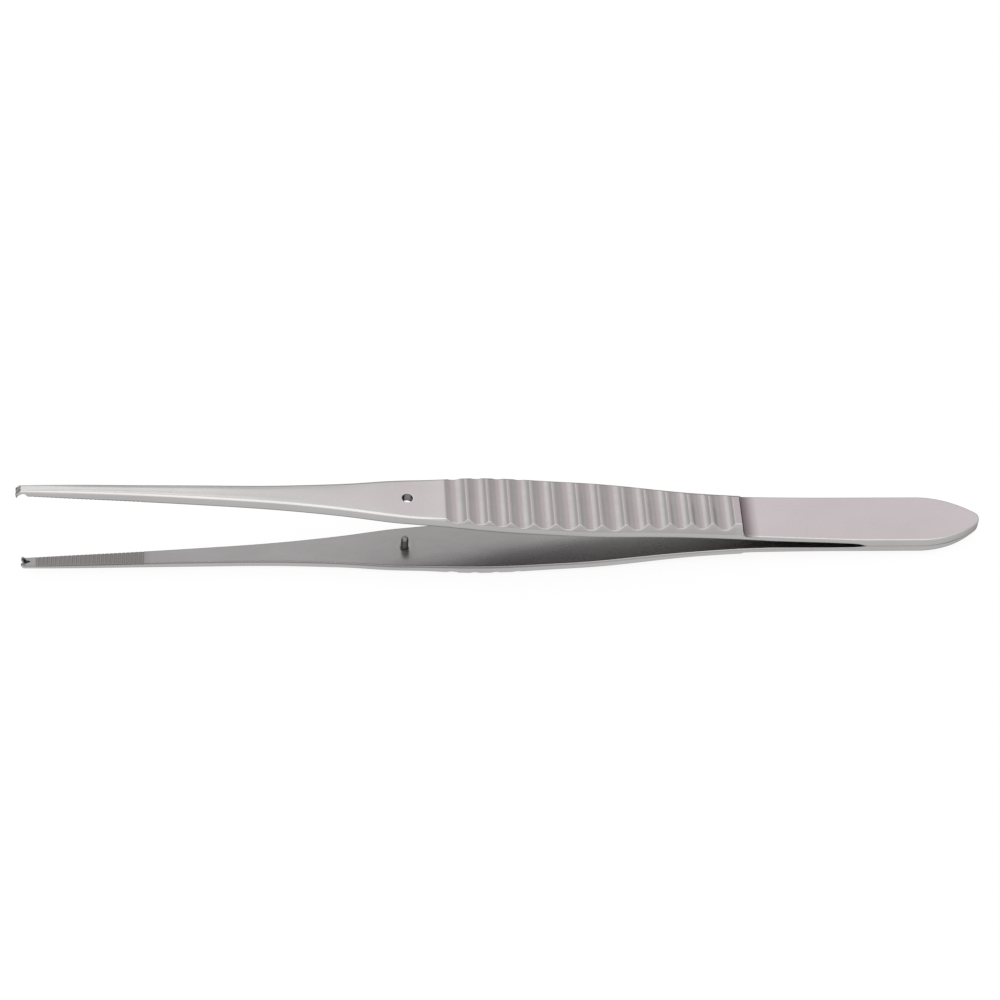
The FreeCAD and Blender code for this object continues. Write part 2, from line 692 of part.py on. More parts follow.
def guide_pin():
    """Turned pin: a straight shank that is pressed in its seat and a rounded
    taper on top; z = 0 is the inner face of the blade that it stands on."""
    body = doc.addObject("PartDesign::Body", "guide_pin")
    body.Label = "guide_pin"
    sketch = new_sketch(body, "PinProfile", "XZ_Plane")
    r0 = value("pin_diameter") / 2
    t0 = value("pin_tip_diameter") / 2
    high = value("pin_height")
    shoulder = high - value("pin_tip_length")
    seat = value("pin_seat_depth")
    radius = "Sizes.pin_diameter / 2"
    shoulder_text = "Sizes.pin_height - Sizes.pin_tip_length"
    polygon(sketch, [
        (0, -seat, "0", "-Sizes.pin_seat_depth"),
        (r0, -seat, radius, "-Sizes.pin_seat_depth"),
        (r0, shoulder, radius, shoulder_text),
        (0.85 * r0, high - 0.3 * (high - shoulder), "0.85 * Sizes.pin_diameter / 2",
         "Sizes.pin_height - 0.3 * Sizes.pin_tip_length"),
        (t0, high, "Sizes.pin_tip_diameter / 2", "Sizes.pin_height"),
        (0, high, "0", "Sizes.pin_height"),
    ])
    turn = body.newObject("PartDesign::Revolution", "PinTurned")
    turn.Profile = (sketch, [""])
    turn.ReferenceAxis = (sketch, ["V_Axis"])
    turn.Angle = 360
    doc.recompute()
    return body


upper = blade("upper_blade")
pin_hole(upper)
tip_relief(upper)
tooth(upper)
grooves(upper)

lower = blade("lower_blade")
pin_seat(lower)
side_teeth(lower)
grooves(lower)

pin = guide_pin()

# The lower blade touches the ground at its tail end and at the foremost crest
# of its grip, between the last two flutes, so the line through those two
# points gives the tilt of the whole instrument.
chord = value("flute_pitch") - value("flute_land")
last_flute = value("rear_land") + chord / 2 + (value("flute_count") - 1) * value("flute_pitch")
contact = value("grip_start") + last_flute - value("flute_pitch") / 2
drop = crest_value(contact) - value("tail_leaf_thickness")
tilt = math.degrees(math.atan2(drop, contact))
X = FreeCAD.Vector(1, 0, 0)
Y = FreeCAD.Vector(0, 1, 0)
turned = FreeCAD.Placement(FreeCAD.Vector(0, 0, 0), FreeCAD.Rotation(Y, tilt))
over = FreeCAD.Placement(FreeCAD.Vector(0, 0, 0), FreeCAD.Rotation(X, 180))
foot = FreeCAD.Vector(-value("pin_from_tail"), 0, -half_gap_value(value("pin_from_tail")))
stand = FreeCAD.Placement(foot, FreeCAD.Rotation())
upper.Placement = turned
lower.Placement = turned.multiply(over)
pin.Placement = turned.multiply(stand)
doc.recompute()

# origin below the middle of the whole, on the ground
box = FreeCAD.BoundBox()
for body in (upper, lower, pin):
    box.add(body.Shape.optimalBoundingBox(False, False))
shift = FreeCAD.Vector(-(box.XMin + box.XMax) / 2, -(box.YMin + box.YMax) / 2, -box.ZMin)
move = FreeCAD.Placement(shift, FreeCAD.Rotation())
for body in (upper, lower, pin):
    body.Placement = move.multiply(body.Placement)
doc.recompute()
print("tilt %.3f degrees, shift %s" % (tilt, shift))

for item in doc.Objects:
    bad = [word for word in item.State if word in ("Invalid", "Error")]
    if bad:
        raise RuntimeError("%s is %s" % (item.Name, bad))
os.makedirs("parts", exist_ok=True)
for body in (upper, lower, pin):
    shape = body.Shape
    if shape.isNull() or not shape.isValid() or len(shape.Solids) != 1 or shape.Volume <= 0:
        raise RuntimeError(body.Label + " is not one valid solid")
for body in (upper, lower, pin):
    body.Shape.exportStep("parts/%s.step" % body.Label)
    box = body.Shape.optimalBoundingBox(False, False)
    print("%s: %.1f mm3, %.2f x %.2f x %.2f mm" % (
        body.Label, body.Shape.Volume, box.XLength, box.YLength, box.ZLength))
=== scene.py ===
"""Thumb forceps lying on a pale table, seen from above and in front.

Two spring blades joined flat at the tail, a fluted finger grip on the outside
of each, a guide pin on the lower blade under its hole in the upper one, and
serrated jaws that end in one tooth above and two below.

Each blade is one closed surface on a grid: the rows are places along the
blade, in mm from the tail end, and the columns go once round its section.
It is drawn with its inner face down and its outer side up, then set in the
frame of the solid model, which the lower blade enters upside down.
"""
import math

import bmesh
import bpy
import numpy as np
from mathutils import Matrix, Vector


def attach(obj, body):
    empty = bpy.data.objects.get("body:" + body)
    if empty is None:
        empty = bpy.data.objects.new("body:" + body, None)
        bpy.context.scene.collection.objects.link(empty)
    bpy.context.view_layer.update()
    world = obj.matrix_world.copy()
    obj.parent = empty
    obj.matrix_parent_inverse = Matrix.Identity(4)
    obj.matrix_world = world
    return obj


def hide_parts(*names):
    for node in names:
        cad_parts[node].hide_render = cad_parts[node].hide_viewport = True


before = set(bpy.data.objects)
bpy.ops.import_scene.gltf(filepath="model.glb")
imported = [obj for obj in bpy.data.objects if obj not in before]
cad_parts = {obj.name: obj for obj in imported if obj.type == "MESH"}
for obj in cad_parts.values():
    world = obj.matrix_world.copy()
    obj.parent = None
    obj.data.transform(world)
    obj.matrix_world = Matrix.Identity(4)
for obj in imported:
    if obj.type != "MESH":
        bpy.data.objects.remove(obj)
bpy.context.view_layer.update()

# Sizes of a blade in mm, with places measured from the tail end.
LENGTH = 150.0
TAIL_WIDTH, LEAF, ARCH_RADIUS, NOSE_RADIUS = 8.8, 1.4, 14.5, 1.5
WELD_END, SPRING_START, GRIP_START, GRIP_END = 18.2, 18.7, 38.0, 84.5
# Turn and shift from the drawing of a blade to the solid model's frame.
TILT = math.radians(3.5845)
SHIFT = (75.10127, 0.0, 1.44479)

# Stations from the back of the grip to the tips: place, width, edge, bevel.
# The grip has no bevel of its own, because its crest line sets it.
STATIONS = np.array([
    (38.0, 8.05, 1.05, 0), (46.0, 8.3, 1.05, 0), (54.0, 9.1, 1.25, 0), (61.0, 9.92, 1.25, 0),
    (68.0, 10.04, 1.25, 0), (75.0, 9.88, 1.4, 0), (82.0, 9.05, 1.37, 0),
    (87.0, 8.2, 1.15, 0.4), (92.481, 7.4, 1.15, 0.4), (98.025, 6.0, 1.15, 0.4),
    (104.01, 4.75, 1.2, 0.4), (112.011, 3.6, 1.2, 0.4), (121.02, 2.9, 1.2, 0.4),
    (130.974, 2.35, 1.1, 0.4), (140.991, 2.0, 0.9, 0.4), (150.0, 1.6, 0.65, 0.25),
])
PLACES, WIDTHS, EDGES, BEVELS = STATIONS.T
# Stations of the spring, from the leaf to the back of the grip.
SPRING_PLACES = [SPRING_START, 27, GRIP_START]
SPRING_WIDTHS = [TAIL_WIDTH, 8.45, 8.05]
SPRING_HEIGHTS = [LEAF, 1.62, 2.08]

# Inner face: height at the back of the grip, rise in mm per mm up to the
# shoulder and in front of it, and the slit behind the grip as (place, height).
OPENING, GRIP_RISE, SHANK_RISE, SHOULDER = 1.15, 0.0787, 0.0555, 84
SLIT = [(WELD_END, 0), (19.44, 0.341), (20.68, 0.465), (24.4, 0.62), (33.05, 0.806),
        (GRIP_START, OPENING)]

# Crest line of the grip: height at its back, and rise in mm per mm.
CREST_HEIGHT, CREST_RISE = 3.52, 0.0675
# Step behind the grip: place of its wall, length of the wall, where the grip
# takes over, and radius of the hollow run-out behind it.
STEP, STEP_WALL, STEP_END, STEP_RADIUS = 38.02, 0.1, 38.2, 0.8
BEVEL_FROM = 37.0

# Middles of the twelve crests between the thirteen flutes.
CRESTS = np.array([42.78, 46.12, 49.53, 52.95, 56.46, 60.25,
                   63.70, 67.46, 70.93, 74.48, 77.77, 81.04])
CREST_HALF = 0.2
FLUTES_FROM, FLUTES_TO = 39.19, 84.45
FLUTE_DEPTHS = np.array([0.76, 0.66, 0.62, 0.6, 0.62, 0.64, 0.6,
                         0.62, 0.58, 0.6, 0.56, 0.56, 0.58])
# How softly a flute runs into its crests, and how far outside it still counts.
FLUTE_BLEND, FLUTE_CUT = 0.03, -0.5

# Serrated pad: place of its last groove, number, pitch, depth, half width of
# a groove, and the height over which a groove dies out at the side.
PAD_END, SERRATIONS, SERRATION_PITCH, SERRATION_DEPTH = 147.4, 26, 0.65, 0.08
SERRATION_HALF = 0.45 * SERRATION_PITCH
SERRATION_FADE = 0.5
FIRST_SERRATION = PAD_END - (SERRATIONS - 1) * SERRATION_PITCH

# Single tooth of the upper blade: (place, height), half its foot, steepness
# of its flanks; then the hollow behind it: middle, half length, depth.
TOOTH = [(149.42, 0), (149.72, 0.75), (149.9, 1.2), (149.97, 1.05), (150.0, 0.9)]
TOOTH_HALF, TOOTH_STEEP = 0.33, 9
HOLLOW_MIDDLE, HOLLOW_HALF, HOLLOW_DEPTH = 148.87, 0.68, 0.55
# Two teeth of the lower blade: (place, height); then the notch between them:
# (place, half width), depth below the inner face, steepness, and the least
# thickness left over it with the height of its run-out.
SIDE_TEETH = [(149.3, 0), (149.79, 0.32), (149.94, 0.2), (150.0, 0.16)]
NOTCH = [(148.55, 0), (149.3, 0.42)]
NOTCH_DEPTH, NOTCH_STEEP = 0.7, 10
NOTCH_SKIN, NOTCH_FADE = 0.3, 0.1

# Rounding of the end face; then how far the end leans back on the upper and
# the lower blade, where the lean starts, the length over which it grows, and
# the height over the inner face from which it counts.
END_ROUND = 0.12
END_START = LENGTH - END_ROUND
UPPER_LEAN, LOWER_LEAN, LEAN_FROM, LEAN_RUN, LEAN_BASE = 0.75, 0.4, 148.2, 1.7, 0.1
# The nose of the tail turns up, over this length.
NOSE_LIFT, NOSE_RUN = 0.25, 5

# Radius of the outer corners: place, upper blade, lower blade.
OUTER_ROUND = np.array([
    (0, 0.26, 1.2), (1.5, 0.26, 1.1), (5, 0.25, 0.8), (9.5, 0.24, 0.36), (36.5, 0.22, 0.3),
    (38.1, 0.25, 0.2), (84.5, 0.25, 0.2), (87, 0.5, 0.28), (92, 0.75, 0.3), (112, 0.75, 0.3),
    (140, 0.5, 0.3), (149, 0.22, 0.2),
])
# Radius of the inner corners, share of the outer radius by which the section
# is fuller, and rise of the domed outer face, each as (place, value).
INNER_ROUND = [(0, 0.02), (18.2, 0.02), (19.5, 0.16), (36, 0.25), (84, 0.22), (90, 0.22),
               (140, 0.2), (149, 0.14)]
SWELL = [(1.5, 0), (5, 0.1), (36, 0.1), (44, 0.15), (60, 0), (76, 0), (86, 0.16), (147, 0.16),
         (150, 0)]
DOME = [(84.6, 0), (92, 0.16), (100, 0.16), (140, 0.07), (149, 0.03)]
DOME_MIDDLE = 0.4   # share of the dome that stands over the plain height
# Reach of a 45 degree arc of radius 1, and the bevel that it needs.
ARC_REACH, ARC_BEVEL = 0.414, 0.586

# Guide pin, its hole in the upper blade and its seat in the lower one.
PIN_PLACE, PIN_RADIUS, HOLE_RADIUS, SEAT_DEPTH = 90.3, 0.6, 0.85, 1.0
PIN_SIDES = 48
HOLE_FROM, HOLE_TO = 88.8, 91.8
# Rings from the square of cells to the wall of a hole: share of the way from
# the square to the circle, how much wider than the hole, how deep.
HOLE_STEPS = [(0.4, 0.1, 0.0), (0.75, 0.1, 0.0), (1.0, 0.08, 0.0), (1.0, 0.02, 0.02),
              (1.0, 0.0, 0.07), (1.0, 0.0, 0.12)]
WALL_RING = 4       # first ring that counts as wall
RING_START = 1.25 * math.pi     # direction of the square's first corner

# Rows of the grid: round the nose and the arch, then in runs of even steps
# as (from, to, step), in each flute, closer at its ends, and in each serration.
NOSE_ROWS, ARCH_ROWS, FLUTE_ROWS, FLUTE_CROWDING = 12, 32, 24, 0.15
TAIL_RUNS = [(9.853, 18.1, 0.8), (18.1, 18.4, 0.06), (18.4, 21.0, 0.2), (21.0, 37.1, 0.9),
             (37.1, 38.2, 0.05), (38.2, 39.05, 0.15)]
SHANK_RUNS = [(84.65, HOLE_FROM, 0.35), (HOLE_FROM, HOLE_TO, 0.3), (HOLE_TO, 130.6, 0.9)]
SERRATION_ROWS = np.array([-0.48, -0.44, -0.2, 0.0, 0.2, 0.44])
TIP_RUN = (PAD_END + 0.33, END_START, 0.05)
END_ROWS = np.radians([0, 22.5, 45, 67.5, 90])

# Columns of the grid: shares of the flat half of a face, points round each
# corner, bevel included, and points between the outer and the inner corner.
FLAT = np.array([0, 0.1, 0.2, 0.3, 0.4, 0.5, 0.62, 0.76, 0.9, 0.975])
CORNER = 10
WIDE = 2 * (len(FLAT) + CORNER) - 1
SIDE = 3
PATCH = 5           # columns on each side of the middle that a hole replaces
# Where the columns of the inner flat stand near the tips, from which place
# on, over which length, and at which half width in full.
UPPER_TIP = np.array([0, 0.1, 0.18, 0.22, 0.26, 0.3, 0.34, 0.37, 0.45, 0.53])
LOWER_TIP = np.array([0, 0.1, 0.2, 0.27, 0.31, 0.35, 0.385, 0.44, 0.5, 0.56])
TIP_FROM, TIP_GROWTH, TIP_HALF = 147.8, 0.5, 0.6

# Zones of the finish and of painted shade: name, columns, and (place, share).
INNER_COLUMNS = slice(WIDE + SIDE, 2 * WIDE + SIDE)
ZONES = [
    # inner faces: a duller finish, with painted shade between the blades, full from the middle of
    # the grip forward
    ("inner_matt_and_shade", INNER_COLUMNS, [(38, 0.35), (60, 0.65), (74, 1)]),
    ("ground", slice(3, WIDE - 3),
     [(38.1, 0), (38.15, 0.75), (39.0, 0.75), (39.3, 1), (84.3, 1), (84.7, 0)]),
    # hollow of the step behind the grip: painted shade
    ("hollow_shade", slice(1, WIDE - 1), [(35.8, 0), (36.7, 0.85), (37.7, 1), (38.12, 0)]),
    # serrated jaws: painted shade of the serration grooves
    ("serration_shade", INNER_COLUMNS, [(130.7, 0), (131.0, 1), (147.6, 1), (147.9, 0)]),
]
WALL_SHADE = 0.7    # share of the painted hollow shade in the wall of a hole


def between(s, pairs):
    """Straight lines from one (place, value) pair to the next."""
    places, values = zip(*pairs)
    return np.interp(s, places, values)


def spline(places, heights):
    """Natural cubic spline: second slopes from one linear system, then the
    usual cubic between each two stations."""
    x, y = np.asarray(places, float), np.asarray(heights, float)
    gap = np.diff(x)
    system = np.eye(len(x))
    wanted = np.zeros(len(x))
    for k in range(1, len(x) - 1):
        system[k, k - 1:k + 2] = gap[k - 1], 2 * (gap[k - 1] + gap[k]), gap[k]
        wanted[k] = 6 * ((y[k + 1] - y[k]) / gap[k] - (y[k] - y[k - 1]) / gap[k - 1])
    bend = np.linalg.solve(system, wanted)

    def curve(s):
        k = np.clip(np.searchsorted(x, s) - 1, 0, len(gap) - 1)
        a, b = (x[k + 1] - s) / gap[k], (s - x[k]) / gap[k]
        return (a * y[k] + b * y[k + 1]
                + ((a ** 3 - a) * bend[k] + (b ** 3 - b) * bend[k + 1]) * gap[k] ** 2 / 6)
    return curve


def spread(s):
    """Height of the inner face over the welding plane: a straight rise along
    the grip, and a slighter one in front of the shoulder."""
    return (OPENING + GRIP_RISE * (np.minimum(s, SHOULDER) - GRIP_START)
            + SHANK_RISE * np.maximum(s - SHOULDER, 0))


def crest_line(s):
    """Straight line that the crests of the grip reach."""
    return CREST_HEIGHT + CREST_RISE * (s - GRIP_START)


RIDGE = np.where(BEVELS > 0, spread(PLACES) + EDGES + BEVELS, crest_line(PLACES))
front_width = spline(PLACES, WIDTHS)
front_inner = spline(PLACES, spread(PLACES))
front_outer = spline(PLACES, RIDGE)
front_bevel = spline(PLACES, RIDGE - spread(PLACES) - EDGES)
back_width = spline(SPRING_PLACES, SPRING_WIDTHS)
back_outer = spline(SPRING_PLACES, SPRING_HEIGHTS)


def half_width(s):
    """Half the width: constant at the tail, then through the stations."""
    front = np.where(s < GRIP_START, back_width(s), front_width(s))
    return np.where(s < SPRING_START, TAIL_WIDTH, front) / 2


def inner_height(s):
    """Inner face: flat at the weld, a slit with a pointed end behind the
    grip, then the spread of the blade."""
    return np.where(s < GRIP_START, between(s, SLIT), front_inner(s))


def flute_depth(s):
    """Depth below the crest line: one parabola for each flute, d (1 - u^2)
    with u from -1 to 1 across it, run softly into the narrow crests."""
    starts = np.concatenate([[FLUTES_FROM], CRESTS + CREST_HALF])
    ends = np.concatenate([CRESTS - CREST_HALF, [FLUTES_TO]])
    u = (s[:, None] - (starts + ends) / 2) / ((ends - starts) / 2)
    q = FLUTE_DEPTHS * (1 - u ** 2)
    return (0.5 * (q + np.sqrt(q ** 2 + FLUTE_BLEND ** 2)) * (q > FLUTE_CUT)).sum(1)


def outer_height(s):
    """Outer face: thin leaf, hollow run-out with the arc r - sqrt(r^2 - x^2)
    up to the step, crest line less the flutes, and the back of the shank."""
    leaf = np.where(s < SPRING_START, LEAF, back_outer(s))
    across = np.clip((s - (STEP - STEP_RADIUS)) / STEP_RADIUS, 0, 1)
    hollow = leaf + STEP_RADIUS * (1 - np.sqrt(1 - across ** 2))
    wall = np.clip((s - STEP) / STEP_WALL, 0, 1)
    back = hollow + wall * (crest_line(s) - hollow)
    return np.where(s < STEP_END, back, front_outer(s) - flute_depth(s))


def bevel_width(s):
    """Bevel of the outer long edges.  In the grip it is planed at 45 degrees
    over an even edge, so each flute eats into it."""
    grip = front_bevel(s) - (front_outer(s) - outer_height(s))
    return np.where(s < GRIP_END, np.maximum(grip, 0) * (s > BEVEL_FROM), front_bevel(s))


def along(a, b, step):
    """Even places from a up to b, no further apart than the step."""
    return np.linspace(a, b, max(int(math.ceil((b - a) / step)), 1) + 1)[:-1]


def row_places():
    """Places of the rows in front of the arch, close together wherever the
    outline, the flutes, the serrations or the teeth turn quickly."""
    runs = [along(*run) for run in TAIL_RUNS]
    edges = np.concatenate([[FLUTES_FROM - CREST_HALF], CRESTS, [FLUTES_TO + CREST_HALF]])
    t = np.linspace(-1, 1, FLUTE_ROWS + 1)[:-1]
    crowd = np.sin(t * math.pi / 2) * (1 - FLUTE_CROWDING * (1 - t ** 2))
    runs += [(a + b) / 2 + (b - a) / 2 * crowd for a, b in zip(edges[:-1], edges[1:])]
    runs += [along(*run) for run in SHANK_RUNS]
    grooves = FIRST_SERRATION + SERRATION_PITCH * np.arange(SERRATIONS)
    runs.append((grooves[:, None] + SERRATION_PITCH * SERRATION_ROWS).ravel())
    runs += [along(*TIP_RUN), END_START + END_ROUND * np.sin(END_ROWS)]
    return np.concatenate(runs)


def rows():
    """Place, half width and heading of every row.  Round the tail the rows
    fan out from the nose, each square to the outline: first the nose arc,
    then the arch arc; the heading is 0 at the nose and 90 degrees at the side."""
    rise = ARCH_RADIUS - TAIL_WIDTH / 2
    reach = math.sqrt((ARCH_RADIUS - NOSE_RADIUS) ** 2 - rise ** 2)
    turn = math.atan2(rise, reach)
    nose = np.linspace(0, turn, NOSE_ROWS + 1)[:-1]
    arch = np.linspace(turn, math.pi / 2, ARCH_ROWS + 1)[:-1]
    front = row_places()
    s = np.concatenate([NOSE_RADIUS - NOSE_RADIUS * np.cos(nose),
                        NOSE_RADIUS + reach - ARCH_RADIUS * np.cos(arch), front])
    y = np.concatenate([NOSE_RADIUS * np.sin(nose), -rise + ARCH_RADIUS * np.sin(arch),
                        half_width(front)])
    heading = np.concatenate([nose, arch, np.full(len(front), math.pi / 2)])
    return s, y, heading


def tooth_form(s, y):
    """Single tooth of the upper blade, below the inner face: a ridge that
    rises to a point near the end, with steep flanks on both sides."""
    return np.clip(np.minimum(between(s, TOOTH), (TOOTH_HALF - np.abs(y)) * TOOTH_STEEP), 0, None)


def hollow_form(s):
    """Hollow across the inner face behind the tooth: d (1 - u^2)."""
    u = (s - HOLLOW_MIDDLE) / HOLLOW_HALF
    return HOLLOW_DEPTH * np.clip(1 - u ** 2, 0, None)


def side_teeth_form(s, y):
    """Two teeth of the lower blade: a low ridge across the tip, less a steep
    notch that narrows to a point behind them."""
    high = between(s, SIDE_TEETH)
    return high - np.clip((between(s, NOTCH) - np.abs(y)) * NOTCH_STEEP, 0, NOTCH_DEPTH + high)


def cut_jaws(inner, s, reach, top, shoulder, upper):
    """Teeth and serrations, in the points of the inner face.  Near the tips
    the columns of its flat first move to where the teeth need their flanks."""
    flat = inner[:len(FLAT)]
    share = np.clip((s - TIP_FROM) / TIP_GROWTH, 0, 1)
    wanted = (UPPER_TIP if upper else LOWER_TIP)[:, None] * np.minimum(1, reach / TIP_HALF)
    flat[:, :, 1] += share * (wanted - flat[:, :, 1])
    if upper:
        flat[:, :, 2] -= tooth_form(flat[:, :, 0], flat[:, :, 1])
    else:
        room = np.clip((top - NOTCH_SKIN - inner[:, :, 2]) / NOTCH_FADE, 0, 1)
        inner[:, :, 2] -= side_teeth_form(inner[:, :, 0], inner[:, :, 1]) * room
    half_pitch = SERRATION_PITCH / 2
    phase = (s - FIRST_SERRATION + half_pitch) % SERRATION_PITCH - half_pitch
    inside = (s > FIRST_SERRATION - SERRATION_HALF) & (s < PAD_END + SERRATION_HALF)
    groove = SERRATION_DEPTH * np.clip(1 - np.abs(phase) / SERRATION_HALF, 0, None) * inside
    inner[:, :, 2] += groove * np.clip((shoulder - inner[:, :, 2]) / SERRATION_FADE, 0, 1)


def blade_grid(upper):
    """Section of each row, rounded at its corners, as (rows, columns, 3).

    The outer corner is two arcs of 45 degrees with the bevel between them,
    the inner corner one arc of 90 degrees; in between the columns lie at
    fixed shares of the flat."""
    s, y, heading = rows()
    outer_round = np.interp(s, OUTER_ROUND[:, 0], OUTER_ROUND[:, 1 if upper else 2])
    inner_round = between(s, INNER_ROUND)
    # the rounded sections are a little fuller, so that the outline stays
    swell = outer_round * between(s, SWELL)
    # the end face is rounded over by shrinking the last sections
    over = np.clip((s - END_START) / END_ROUND, 0, 1)
    shrink = END_ROUND * (1 - np.sqrt(1 - over ** 2))
    y = y - shrink
    top = outer_height(s) - shrink + (swell if upper else 0)
    low = inner_height(s) + shrink
    bevel = np.maximum(bevel_width(s), ARC_BEVEL * outer_round)

    def place(inset, height):
        inward = inset - swell
        return np.stack([s + inward * np.cos(heading), y - inward * np.sin(heading),
                         height + 0 * s], -1)

    def arc(centre, centre_height, radius, degrees):
        return [place(centre - radius * math.cos(a), centre_height + radius * math.sin(a))
                for a in np.radians(degrees)]

    # the outer face of the shank is slightly domed across
    dome = between(s, DOME)
    flat_inset = bevel + ARC_REACH * outer_round
    top = top + DOME_MIDDLE * dome
    outer = [place(flat_inset, top - dome * f ** 2) * (1, f, 1) for f in FLAT]
    top = top - dome
    shoulder = top - flat_inset
    outer += arc(flat_inset, top - outer_round, outer_round, np.linspace(90, 45, CORNER // 2))
    outer += arc(outer_round, shoulder, outer_round, np.linspace(45, 0, CORNER // 2))
    under = low + (hollow_form(s) if upper else 0)
    inner = [place(inner_round, under) * (1, f, 1) for f in FLAT]
    inner += arc(inner_round, under + inner_round, inner_round, np.linspace(-90, 0, CORNER))
    outer, inner = np.array(outer), np.array(inner)
    cut_jaws(inner, s, y - inner_round, top, shoulder, upper)

    side = [outer[-1] + (inner[-1] - outer[-1]) * (k + 1) / (SIDE + 1) for k in range(SIDE)]
    flip = np.array([1, -1, 1])
    loop = (list(outer[:0:-1] * flip) + list(outer) + side + list(inner[::-1])
            + list(inner[1:] * flip) + [p * flip for p in side[::-1]])
    loop = np.array(loop).transpose(1, 0, 2)
    # the end face leans back: the outer side is a little shorter
    lean = UPPER_LEAN if upper else LOWER_LEAN
    lean = lean * np.clip((s - LEAN_FROM) / LEAN_RUN, 0, 1)[:, None]
    rise = (loop[:, :, 2] - low[:, None] - LEAN_BASE) / (top - low - LEAN_BASE)[:, None]
    loop[:, :, 0] -= lean * np.clip(rise, 0, 1)
    # the nose of the tail turns up a little, in both blades
    lift = NOSE_LIFT * np.clip(1 - s / NOSE_RUN, 0, 1)[:, None] ** 2
    loop[:, :, 2] += lift if upper else -lift
    return loop


def to_frame(points, upper):
    """From the drawing of one blade, as place, across, height in mm, into the
    frame of the solid model, in metres."""
    x, y, z = -points[..., 0], points[..., 1], points[..., 2]
    if not upper:
        y, z = -y, -z
    c, t = math.cos(TILT), math.sin(TILT)
    return np.stack([x * c + z * t + SHIFT[0], y, -x * t + z * c + SHIFT[2]], -1) / 1000


def patch_ring(block):
    """Entries round a rectangular block, once round, from its first corner."""
    return np.concatenate([block[0, :-1], block[:-1, -1], block[-1, :0:-1], block[:0:-1, 0]])


def hole_rings(edge, face_height, radius, into):
    """Rings from the square round a hole to its circle, then down the wall;
    they keep the square's mean height over the face."""
    angle = RING_START - np.linspace(0, 2 * math.pi, len(edge), endpoint=False)
    circle = np.stack([np.cos(angle), np.sin(angle)], -1)
    level = np.mean(edge[:, 2] - face_height(edge[:, 0]))
    made = []
    for share, wider, depth in HOLE_STEPS:
        round_place = (PIN_PLACE, 0) + circle * (radius + wider)
        flat = edge[:, :2] * (1 - share) + round_place * share
        height = edge[:, 2] * (1 - share) + (level + face_height(flat[:, 0])) * share
        made.append(np.column_stack([flat, height + depth * into]))
    return made


def end_face(end):
    """Strips between the outer and the inner columns of the last row, and one
    face at each side."""
    outer, inner = end[:WIDE], end[INNER_COLUMNS][::-1]
    strips = np.stack([outer[1:-2], outer[2:-1], inner[2:-1], inner[1:-2]], -1).tolist()
    right = [outer[-2], outer[-1], *end[WIDE:WIDE + SIDE], inner[-1], inner[-2]]
    left = [outer[1], inner[1], inner[0], *end[2 * WIDE + SIDE:], outer[0]]
    return strips + [[int(i) for i in cheek] for cheek in (right, left)]


def mark_zones(mesh, s, around, in_wall, in_low):
    """Share of each zone of the finish or of painted shade at every point: by
    place and column on the grid, and by ring in the hole."""
    # hole walls take part of the painted shade; rings on the inner side take the inner tint
    in_hole = {"hollow_shade": WALL_SHADE * in_wall, "inner_matt_and_shade": in_low}
    for name, columns, pairs in ZONES:
        share = np.zeros((len(s), around), np.float32)
        share[:, columns] = between(s, pairs)[:, None]
        values = np.concatenate([share.ravel(), in_hole.get(name, 0 * in_low)])
        mark = mesh.attributes.new(name, "FLOAT", "POINT")
        mark.data.foreach_set("value", values.astype(np.float32))


def blade(name, upper):
    """One closed blade: the grid, its end face, and a round hole or seat for
    the pin whose rings run from the square of grid cells round it."""
    grid = blade_grid(upper)
    count, around, _ = grid.shape
    numbers = np.arange(count * around).reshape(count, around)
    nxt = np.roll(numbers, -1, axis=1)
    quads = np.stack([numbers[:-1], nxt[:-1], nxt[1:], numbers[1:]], -1)
    middle, low_middle = WIDE // 2, WIDE + SIDE + WIDE // 2
    s_row = grid[:, middle, 0]
    r0 = int(np.argmin(np.abs(s_row - HOLE_FROM)))
    r1 = int(np.argmin(np.abs(s_row - HOLE_TO)))
    keep = np.ones((count - 1, around), bool)
    keep[r0:r1, low_middle - PATCH:low_middle + PATCH] = False
    if upper:
        keep[r0:r1, middle - PATCH:middle + PATCH] = False
    faces = quads[keep].tolist()
    points, in_wall, in_low = [grid.reshape(-1, 3)], [], []

    def add(ring, wall, low):
        """Take in one ring of points and give their numbers."""
        first = sum(len(block) for block in points)
        points.append(ring)
        in_wall.append(np.full(len(ring), wall, np.float32))
        in_low.append(np.full(len(ring), low, np.float32))
        return np.arange(first, first + len(ring))

    def join(a, b):
        faces.extend(np.stack([a, np.roll(a, -1), np.roll(b, -1), b], -1).tolist())

    def sink(columns, face_height, into):
        """Rings of a hole from one face; gives the last one."""
        last = patch_ring(numbers[r0:r1 + 1, columns])
        edge = patch_ring(grid[r0:r1 + 1, columns])
        radius = HOLE_RADIUS if upper else PIN_RADIUS
        for k, ring in enumerate(hole_rings(edge, face_height, radius, into)):
            number = add(ring, k >= WALL_RING, into > 0)
            join(*((last, number) if into > 0 else (number, last)))
            last = number
        return last, ring

    last, ring = sink(slice(low_middle + PATCH, low_middle - PATCH - 1, -1), inner_height, 1)
    if upper:
        other, _ = sink(slice(middle - PATCH, middle + PATCH + 1), outer_height, -1)
        join(last, other)
    else:
        floor = add(ring + (0, 0, SEAT_DEPTH), 1, 1)
        join(last, floor)
        faces.append(floor.tolist())
    faces.extend(end_face(numbers[-1]))

    mesh = bpy.data.meshes.new(name)
    mesh.from_pydata(to_frame(np.concatenate(points), upper), [], faces)
    mark_zones(mesh, grid[:, 0, 0], around, np.concatenate(in_wall), np.concatenate(in_low))
    return close_and_smooth(mesh, name, 34)


